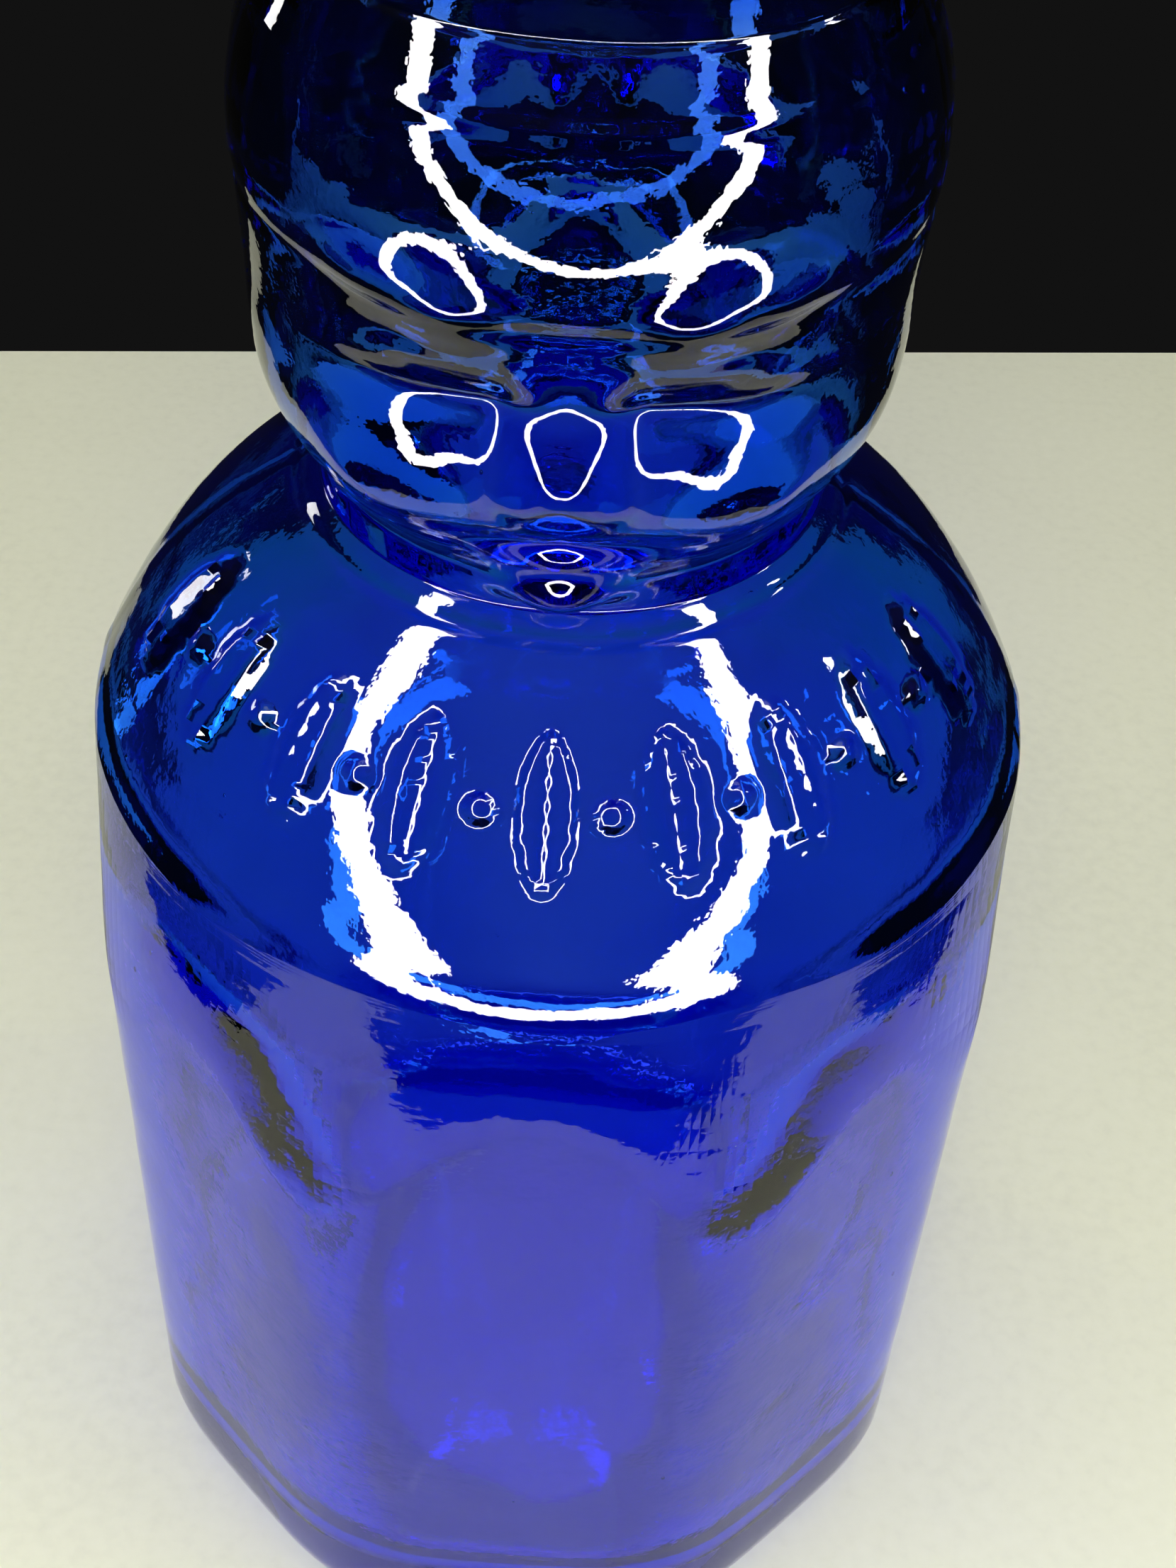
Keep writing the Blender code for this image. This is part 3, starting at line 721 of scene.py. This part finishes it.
# %% [markdown]
# ## Garland on the shoulder
# The front of the shoulder carries raised ornament: a garland of plain laurel leaves with a bead
# between each pair. Leaves could be modelled apart and joined with booleans, but that leaves a
# hard line where leaf meets glass. So they are relief, and each has its own small frame on the
# shoulder: one direction across it and one up the slope. A leaf is a rounded hill with a groove
# along its midrib and finer grooves for its veins.

# %% Frames of the leaves
LEAF_COUNT = 9
LEAF_SPACING_DEGREES = 17.5
LEAF_LENGTH = 0.0150
LEAF_WIDTH = 0.0056
BEAD_WIDTH = 0.0030
ORNAMENT_RISE = 0.0009
ORNAMENT_PLACE_SHARE = 0.62
PROBE_SHARE = 0.01


def shoulder_point(angle, rise):
    """Point on the plain shoulder, at this share of its height."""
    outline = body_outline(
        np.array([angle]), BODY_WIDTH / 2, CORNER_WIDTH / 2, EDGE_SHARPNESS)
    height = SHOULDER_START + (SHOULDER_TOP - SHOULDER_START) * rise
    radius = shoulder_ring(outline, BODY_WIDTH / 2, WAIST_RADIUS, SHOULDER_TOP, height)[0]
    return np.array((radius * math.cos(angle), radius * math.sin(angle), height))


def ornament_frame(angle):
    """Middle of an ornament, and its directions across and up the slope."""
    middle = shoulder_point(angle, ORNAMENT_PLACE_SHARE)
    across = shoulder_point(angle + PROBE_SHARE, ORNAMENT_PLACE_SHARE) - middle
    across /= np.linalg.norm(across)
    upward = shoulder_point(angle, ORNAMENT_PLACE_SHARE + PROBE_SHARE) - middle
    upward -= across * upward.dot(across)
    return middle, across, upward / np.linalg.norm(upward)


def ornament_angle(place):
    """Angle of the leaves at even places and of the beads at odd ones."""
    steps_from_front = (place - (LEAF_COUNT - 1)) / 2
    return math.radians(LEAF_SPACING_DEGREES) * steps_from_front - math.pi / 2


print("garland spans", LEAF_SPACING_DEGREES * (LEAF_COUNT - 1), "degrees")

# %% Leaf and bead relief
MIDRIB_WIDTH = 0.00045
MIDRIB_DEPTH = 0.00038
VEIN_SPACING = 0.0021
VEIN_DEPTH = 0.00012
VEIN_SLANT = 0.9
LEAF_EDGE_POWER = 3.0
LEAF_CROWN_POWER = 0.45
LEAF_OUTLINE_POWERS = (2.2, 0.75)
LEAF_NARROWEST = 1e-9
LEAF_RIM = 0.05
BEAD_EDGE_POWER = 2.4
BEAD_CROWN_POWER = 0.5
REACH_SHARE = 0.6


def leaf_rise(across, upward):
    """Height of a leaf over the glass. Both places are in metres from its middle."""
    along = (upward / (LEAF_LENGTH / 2)).clip(-1, 1)
    taper, roundness = LEAF_OUTLINE_POWERS
    half_width = LEAF_WIDTH / 2 * (1 - np.abs(along) ** taper) ** roundness + LEAF_NARROWEST
    inside = 1 - (np.abs(across) / half_width) ** LEAF_EDGE_POWER
    body = ORNAMENT_RISE * inside.clip(0) ** LEAF_CROWN_POWER
    midrib = MIDRIB_DEPTH * np.exp(-(across / MIDRIB_WIDTH) ** 2)
    wave = np.cos((upward - VEIN_SLANT * np.abs(across)) * math.tau / VEIN_SPACING)
    veins = VEIN_DEPTH * (0.5 - 0.5 * wave)
    return (body - (midrib + veins) * (inside > LEAF_RIM)).clip(0)


def bead_rise(across, upward):
    """Height of a bead over the glass."""
    distance = np.hypot(across, upward) / (BEAD_WIDTH / 2)
    return ORNAMENT_RISE * (1 - distance ** BEAD_EDGE_POWER).clip(0) ** BEAD_CROWN_POWER


def garland_rise(points):
    """Height of the whole garland over the glass, at each point of the grid."""
    rise = np.zeros(points.shape[:2])
    for place in range(2 * LEAF_COUNT - 1):
        middle, across, upward = ornament_frame(ornament_angle(place))
        offset = points - middle
        near = np.linalg.norm(offset, axis=2) < LEAF_LENGTH * REACH_SHARE
        shape = leaf_rise if place % 2 == 0 else bead_rise
        local = shape(offset @ across, offset @ upward) * near
        rise = np.maximum(rise, local)
    return rise


garland = garland_rise(outer_points)
print("garland stands", round(MM_PER_M * garland.max(), 2), "mm proud")

# %% [markdown]
# ## Marks of the mould
# Pressed glass shows how it was made. The mould's halves leave a fine ridge up each side, and
# its crown ring leaves one around the forehead. A crease runs around the head at the eyes, and a
# fine groove around the root of the neck catches a thin bright line. A bump map could draw them on
# the surface, but in clear glass they bend what is seen through it too, so they are shape.

# %% Seams, groove and crease
SEAM_WIDTH = 0.00045
SEAM_RISE = 0.00016
CROWN_SEAM_HEIGHT = 0.1930
EYE_CREASE_HEIGHT = 0.1778
EYE_CREASE_WIDTH = 0.0008
EYE_CREASE_DEPTH = 0.0002
ROOT_GROOVE_HEIGHT = 0.1440
ROOT_GROOVE_WIDTH = 0.0004
ROOT_GROOVE_DEPTH = 0.00022


def mould_marks(points, angles):
    """Side seams below the crown, the crown's seam, the root's groove and the eye crease."""
    height = points[..., 2]
    radius = np.hypot(points[..., 0], points[..., 1])
    marks = np.zeros(points.shape[:2])
    for side in (0.0, math.pi):
        turn = (angles - side + math.pi) % math.tau - math.pi
        marks += SEAM_RISE * np.exp(-(turn * radius / SEAM_WIDTH) ** 2) * (
            (height > HEEL_RADIUS) & (height < HEAD_TOP))
    marks += SEAM_RISE * np.exp(-((height - CROWN_SEAM_HEIGHT) / SEAM_WIDTH) ** 2)
    marks -= ROOT_GROOVE_DEPTH * np.exp(
        -((height - ROOT_GROOVE_HEIGHT) / ROOT_GROOVE_WIDTH) ** 2)
    marks -= EYE_CREASE_DEPTH * np.exp(-((height - EYE_CREASE_HEIGHT) / EYE_CREASE_WIDTH) ** 2)
    return marks


marks = mould_marks(outer_points, outer_angles)
print("marks rise", round(MM_PER_M * marks.max(), 2), "mm")

# %% [markdown]
# Cool spots in the mould leave the surface gently wavy, and the blown inside is wavier still. A
# perfectly smooth skin would mirror the lamp in clean curves and look like plastic. A noise
# texture could push the points about, but noise from mathutils gives numbers that can be faded
# out where the glass must stay true. It is the same in every run, so the bottle always comes out
# alike.

# %% Waves
OUTER_WAVE = 0.00010
OUTER_WAVE_SIZE = 0.011
OUTER_WAVE_START = 3.1
INNER_WAVE = 0.00028
INNER_WAVE_SIZE = 0.017
INNER_WAVE_START = 8.4
START_RATIO = 1.7
FINE_WAVE_SHARE = 0.4
FINE_WAVE_RATIO = 2.3


def wave_field(points, size, height, start):
    """Soft noise over the grid, two octaves deep."""
    field = np.empty(points.shape[:2])
    shift = Vector((start, start * START_RATIO, -start))
    for index in np.ndindex(field.shape):
        place = Vector(points[index]) / size + shift
        fine = noise.noise(place * FINE_WAVE_RATIO)
        field[index] = noise.noise(place) + FINE_WAVE_SHARE * fine
    return height * field


def free_of_seats(points):
    """1 where the glass may wave, 0 on the base and in the throat, where it must stay true."""
    height = points[..., 2]
    above_base = ((height - HEEL_RADIUS / 2) / HEEL_RADIUS).clip(0, 1)
    below_lip = ((HEAD_TOP - height) / HEEL_RADIUS).clip(0, 1)
    return above_base * below_lip


outer_push = garland + marks
outer_push += free_of_seats(outer_points) * wave_field(
    outer_points, OUTER_WAVE_SIZE, OUTER_WAVE, OUTER_WAVE_START)
outer_points += outer_outward * outer_push[..., None]
inner_push = wave_field(inner_points, INNER_WAVE_SIZE, INNER_WAVE, INNER_WAVE_START)
inner_points += inner_outward * (free_of_seats(inner_points) * inner_push)[..., None]
print("waves up to", round(MM_PER_M * float(np.abs(inner_push).max()), 2), "mm inside")

# %% [markdown]
# ## One closed skin
# The grids become faces ring by ring, the throat joins outside to inside, and a fan closes the
# base and the floor. The two grids could stay apart, and would look the same in clay. Glass needs
# one closed skin: light bends where it goes in and again where it comes out, and the colour
# deepens with the distance between.

# %% Skin the bottle
def add_grid(mesh, points):
    """Add a grid of faces and return its first and last rings."""
    rings = []
    for row in points:
        rings.append([mesh.verts.new(point) for point in row])
    for lower, upper in zip(rings, rings[1:]):
        for step in range(len(lower)):
            after = (step + 1) % len(lower)
            mesh.faces.new((lower[step], lower[after], upper[after], upper[step]))
    return rings[0], rings[-1]


def ring_edges(mesh, ring):
    """Edges around a ring, found or made."""
    edges = []
    for step, vertex in enumerate(ring):
        pair = (vertex, ring[(step + 1) % len(ring)])
        edges.append(mesh.edges.get(pair) or mesh.edges.new(pair))
    return edges


def close_ring(mesh, ring, height):
    """Close a ring with a fan of triangles around a middle point at this height."""
    centre = mesh.verts.new((0, 0, height))
    for step, vertex in enumerate(ring):
        mesh.faces.new((vertex, ring[(step + 1) % len(ring)], centre))


glass_mesh = bmesh.new()
base_ring, throat_ring = add_grid(glass_mesh, outer_points)
inner_ring, floor_ring = add_grid(glass_mesh, inner_points)
bmesh.ops.bridge_loops(
    glass_mesh, edges=ring_edges(glass_mesh, throat_ring) + ring_edges(glass_mesh, inner_ring))
close_ring(glass_mesh, base_ring, PUSH_UP_HEIGHT)
close_ring(glass_mesh, floor_ring, BASE_THICKNESS)
bmesh.ops.recalc_face_normals(glass_mesh, faces=glass_mesh.faces)
print("skin has", len(glass_mesh.faces), "faces")

# %% [markdown]
# ## Seeds in the glass
# Old glass holds small bubbles, which glassmakers call seeds. Painted dots would lie on the
# surface and never glint. A bubble is a hollow in the glass, so it is made as one: a tiny ball
# whose faces look inwards, placed in the middle of the wall.

# %% Blow the seeds
SEED_COUNT = 46
SEED_SMALLEST = 0.00012
SEED_LARGEST = 0.00042
SEED_STRETCH = 1.5
SEED_SMOOTHNESS = 2
SEED_LOWEST = 0.030
SEED_RANGE = 0.165
# Steps whose multiples spread evenly and never repeat
ANGLE_STEP = 2.399963
HEIGHT_STEP = 0.754878
SIZE_STEP = 0.569840


def seed_places():
    """Even but not regular places on the flank, shoulder and head, with a size for each."""
    places = []
    for step in range(SEED_COUNT):
        angle = step * ANGLE_STEP - math.pi / 2
        height = SEED_LOWEST + SEED_RANGE * ((step * HEIGHT_STEP) % 1.0)
        size_share = ((step * SIZE_STEP) % 1.0) ** 2
        size = SEED_SMALLEST + (SEED_LARGEST - SEED_SMALLEST) * size_share
        places.append((angle, height, size))
    return places


def wall_middle(angle, height):
    """Point in the middle of the wall, or none near the waist, where the wall turns."""
    column = np.abs((outer_angles - angle + math.pi) % math.tau - math.pi).argmin()
    row = np.abs(outer_points[:, column, 2] - height).argmin()
    if abs(height - WAIST_HEIGHT) < HEAD_WALL * 2:
        return None
    return outer_points[row, column] - outer_outward[row, column] * BODY_WALL / 2


seeds_made = 0
for angle, height, size in seed_places():
    middle = wall_middle(angle, height)
    if middle is None:
        continue
    ball = bmesh.ops.create_icosphere(
        glass_mesh, subdivisions=SEED_SMOOTHNESS, radius=size,
        matrix=Matrix.Translation(middle) @ Matrix.Diagonal((1.0, 1.0, SEED_STRETCH, 1.0)))
    faces = {face for vertex in ball["verts"] for face in vertex.link_faces}
    bmesh.ops.reverse_faces(glass_mesh, faces=list(faces))
    seeds_made += 1
print(seeds_made, "seeds")

# %% [markdown]
# The skin becomes one piece, which rides on the bottle and takes the place of its plain solid.
# Flat shading would show every face, and smooth shading alone would smear the light around the
# ledges, so the shading is smooth but edges sharper than a set angle stay crisp.

# %% Make the glass piece
SHARP_DEGREES = 40

glass_data = bpy.data.meshes.new("blue_glass")
glass_mesh.to_mesh(glass_data)
glass_mesh.free()
glass_data.shade_smooth()
glass_data.set_sharp_from_angle(angle=math.radians(SHARP_DEGREES))
glass = bpy.data.objects.new("blue_glass", glass_data)
scene.collection.objects.link(glass)
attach(glass, "bottle")
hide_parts("glass_bottle")
print(len(glass_data.polygons), "faces in", glass.name)

# %% [markdown]
# ## Cobalt glass
# Cobalt swallows red and green and lets blue through, so thin glass is a clear blue and a long
# way through it is nearly black. Colour on the surface alone can't do that. Volume absorption can:
# it takes light away with distance. The surface adds only a tint that changes with height. It is
# painted shade: it makes the shoulder, the neck and the head greener and dimmer than the body.

# %% Start the glass
GLASS_IOR = 1.52
# Height share of the glass below the crown, tint (painted shade, greener and dimmer higher up)
GLASS_PAINTED_SHADE_TINTS = (
    (0.00, (1.00, 0.40, 1.00)), (0.48, (0.95, 0.45, 1.00)), (0.60, (0.60, 1.00, 0.80)),
    (0.74, (0.60, 0.90, 0.74)), (0.88, (0.60, 0.62, 0.70)),
)

cobalt, tree, shader, output = start_material("cobalt_glass")
shader.inputs["Transmission Weight"].default_value = 1.0
shader.inputs["IOR"].default_value = GLASS_IOR
shader.inputs["Roughness"].default_value = 0.0
place = tree.nodes.new("ShaderNodeTexCoord")
split = tree.nodes.new("ShaderNodeSeparateXYZ")
join(tree, place.outputs["Object"], split.inputs["Vector"])
height_share = add_node(tree, "ShaderNodeMapRange", From_Max=HEAD_TOP)
join(tree, split.outputs["Z"], height_share.inputs["Value"])
# Painted shade: this tint makes the glass greener and dimmer from the shoulder up
tint = add_ramp(tree, height_share.outputs["Result"], GLASS_PAINTED_SHADE_TINTS)
join(tree, tint, shader.inputs["Base Color"])
print("tints by height:", len(GLASS_PAINTED_SHADE_TINTS))

# %% [markdown]
# The top of each flat panel leans a little, which shows where the mirrored table ends: a line
# that arches over the panel and runs down at its corners. The skin could lean there itself, but
# it has to keep the shape of the solid under it, so a bump leans only the way light meets it. The
# bump's ramp runs up the panel. In the corners, which stand further from the middle than the flats
# do, it runs out lower down.

# %% Height that arches over the flat panels
LEAN_ARCH = 7.0

flat = tree.nodes.new("ShaderNodeCombineXYZ")
join(tree, split.outputs["X"], flat.inputs["X"])
join(tree, split.outputs["Y"], flat.inputs["Y"])
radius = add_node(tree, "ShaderNodeVectorMath", operation="LENGTH")
join(tree, flat.outputs["Vector"], radius.inputs[0])
past_flat = add_node(tree, "ShaderNodeMapRange", From_Min=BODY_WIDTH / 2, From_Max=1.0)
past_flat.inputs["To Max"].default_value = 1 - BODY_WIDTH / 2
join(tree, radius.outputs["Value"], past_flat.inputs["Value"])
arched_height = add_node(tree, "ShaderNodeMath", operation="MULTIPLY_ADD")
join(tree, past_flat.outputs["Result"], arched_height.inputs[0])
arched_height.inputs[1].default_value = LEAN_ARCH
join(tree, split.outputs["Z"], arched_height.inputs[2])
print("height gains", LEAN_ARCH, "mm for each mm past the flat")

# %% Lean the top of the panels
LEAN_START = 0.1010
LEAN_END = 0.1215
LEAN_DEPTH = 0.0030

lean = add_node(
    tree, "ShaderNodeMapRange", interpolation_type="SMOOTHSTEP",
    From_Min=LEAN_START, From_Max=LEAN_END, To_Min=1.0, To_Max=0.0)
join(tree, arched_height.outputs["Value"], lean.inputs["Value"])
lean_bump = add_node(tree, "ShaderNodeBump", Strength=1.0, Distance=LEAN_DEPTH)
join(tree, lean.outputs["Result"], lean_bump.inputs["Height"])
print("panels lean", round(MM_PER_M * LEAN_DEPTH, 1), "mm over their top")

# %% [markdown]
# The iron of the mould leaves a ripple finer than the waves. The mesh would need many times its
# points to hold it, so the noise group and a second bump make it, on top of the lean.

# %% Ripple the surface
RIPPLE_STRENGTH = 0.08
RIPPLE_DEPTH = 0.0006

ripple_mask = add_mottle(tree, scale=240.0, fine_scale=900.0, fine_share=0.25)
ripple = add_node(tree, "ShaderNodeBump", Strength=RIPPLE_STRENGTH, Distance=RIPPLE_DEPTH)
join(tree, ripple_mask, ripple.inputs["Height"])
join(tree, lean_bump.outputs["Normal"], ripple.inputs["Normal"])
join(tree, ripple.outputs["Normal"], shader.inputs["Normal"])
print("ripple strength", RIPPLE_STRENGTH)

# %% [markdown]
# The absorption gives thin walls their clear blue and thick ones their darkness. Bent light seldom
# finds a lamp, so glass alone would throw a black shadow. Shadow rays therefore pass straight
# through a nearly clear surface, and the table under the bottle is lit through the glass.

# %% Deepen the colour and clear the shadow
GLASS_DENSITY = 380.0
GLASS_CLEAR_COLOUR = (0.05, 0.52, 0.986)
SHADOW_COLOUR = (0.90, 0.90, 0.99)

depth = tree.nodes.new("ShaderNodeVolumeAbsorption")
depth.inputs["Color"].default_value = (*GLASS_CLEAR_COLOUR, 1.0)
depth.inputs["Density"].default_value = GLASS_DENSITY
join(tree, depth.outputs["Volume"], output.inputs["Volume"])
rays = tree.nodes.new("ShaderNodeLightPath")
clear = add_node(tree, "ShaderNodeBsdfTransparent", Color=(*SHADOW_COLOUR, 1.0))
mix = tree.nodes.new("ShaderNodeMixShader")
join(tree, rays.outputs["Is Shadow Ray"], mix.inputs["Fac"])
join(tree, shader.outputs["BSDF"], mix.inputs[1])
join(tree, clear.outputs["BSDF"], mix.inputs[2])
join(tree, mix.outputs["Shader"], output.inputs["Surface"])
glass_data.materials.append(cobalt)
print("glass density", GLASS_DENSITY)

# %% [markdown]
# A ray enters and leaves the front wall, does the same at the back wall, and is mirrored inside
# both on its way. Fewer bounces would render faster, but rays would end in the glass as black
# specks, so they get many.

# %% Let rays cross many walls
ALL_BOUNCES = 32
THROUGH_BOUNCES = 28
MIRROR_BOUNCES = 8

scene.cycles.max_bounces = ALL_BOUNCES
scene.cycles.transmission_bounces = THROUGH_BOUNCES
scene.cycles.transparent_max_bounces = ALL_BOUNCES
scene.cycles.glossy_bounces = MIRROR_BOUNCES
print("bounces:", ALL_BOUNCES)

# %% [markdown]
# ## Board cap, tab and staple
# The cap is waxed pulp board with a paper tab that a wire staple holds. They could be rebuilt as
# the glass was, but their CAD shapes are right, so they keep them and get new finishes. The board
# shows short pulp fibres and a wax bloom, and the tab shows the grain of manila paper.

# %% Finish the board and the paper
FINE_FIBRE_RATIO = 7
FINE_FIBRE_SHARE = 0.45
FIBRE_STRENGTH = 0.35
FIBRE_DEPTH = 0.0002
GLOSS_SPREAD = 0.12
TONE_PLACES = (0.30, 0.50, 0.72)
BOARD_TONES = ((0.60, 0.52, 0.38), (0.74, 0.67, 0.52), (0.82, 0.76, 0.62))
MANILA_TONES = ((0.52, 0.41, 0.25), (0.64, 0.53, 0.35), (0.72, 0.62, 0.44))


def paper_finish(name, tones, fibre_scale, roughness, shine):
    """Pulp paper: mottled colour, short fibres and a soft raised grain."""
    material, tree, shader, _ = start_material(name)
    shader.inputs["Specular IOR Level"].default_value = shine
    mask = add_mottle(tree, fibre_scale, fibre_scale * FINE_FIBRE_RATIO, FINE_FIBRE_SHARE)
    colour = add_ramp(tree, mask, tuple(zip(TONE_PLACES, tones)))
    join(tree, colour, shader.inputs["Base Color"])
    gloss = add_node(tree, "ShaderNodeMapRange")
    gloss.inputs["To Min"].default_value = roughness - GLOSS_SPREAD
    gloss.inputs["To Max"].default_value = roughness + GLOSS_SPREAD
    join(tree, mask, gloss.inputs["Value"])
    join(tree, gloss.outputs["Result"], shader.inputs["Roughness"])
    bump = add_node(tree, "ShaderNodeBump", Strength=FIBRE_STRENGTH, Distance=FIBRE_DEPTH)
    join(tree, mask, bump.inputs["Height"])
    join(tree, bump.outputs["Normal"], shader.inputs["Normal"])
    return material


waxed_board = paper_finish(
    "waxed_board", BOARD_TONES, fibre_scale=420.0, roughness=0.60, shine=0.20)
manila = paper_finish(
    "tab_paper", MANILA_TONES, fibre_scale=620.0, roughness=0.70, shine=0.12)
print("papers:", waxed_board.name, manila.name)

# %% [markdown]
# The staple is drawn steel wire. One even grey would look like paint, so the noise group varies
# its colour and its gloss a little, as a thin film of rust and grease does.

# %% Finish the staple
STEEL_TONES = ((0.3, (0.50, 0.49, 0.47)), (0.7, (0.68, 0.67, 0.64)))
STEEL_GLOSSIEST = 0.22
STEEL_DULLEST = 0.42

steel, tree, shader, _ = start_material("staple_steel")
shader.inputs["Metallic"].default_value = 1.0
mask = add_mottle(tree, scale=1500.0, fine_scale=9000.0, fine_share=0.5)
wire = add_ramp(tree, mask, STEEL_TONES)
join(tree, wire, shader.inputs["Base Color"])
gloss = add_node(tree, "ShaderNodeMapRange", To_Min=STEEL_GLOSSIEST, To_Max=STEEL_DULLEST)
join(tree, mask, gloss.inputs["Value"])
join(tree, gloss.outputs["Result"], shader.inputs["Roughness"])

finishes = {
    "cap_disc": waxed_board, "tab_root": manila, "pull_tab": manila, "tab_staple": steel}
for name, material in finishes.items():
    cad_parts[name].material_slots[0].material = material
print("finished:", ", ".join(finishes))

# %% [markdown]
# ## View transform
# The dressed bottle must stay inside the CAD box. Blender's usual view transform greys bright
# blues, so the view transform is set to Standard, which shows each colour about as it was
# written.

# %% Set the view transform
scene.view_settings.view_transform = "Standard"
bpy.context.view_layer.update()
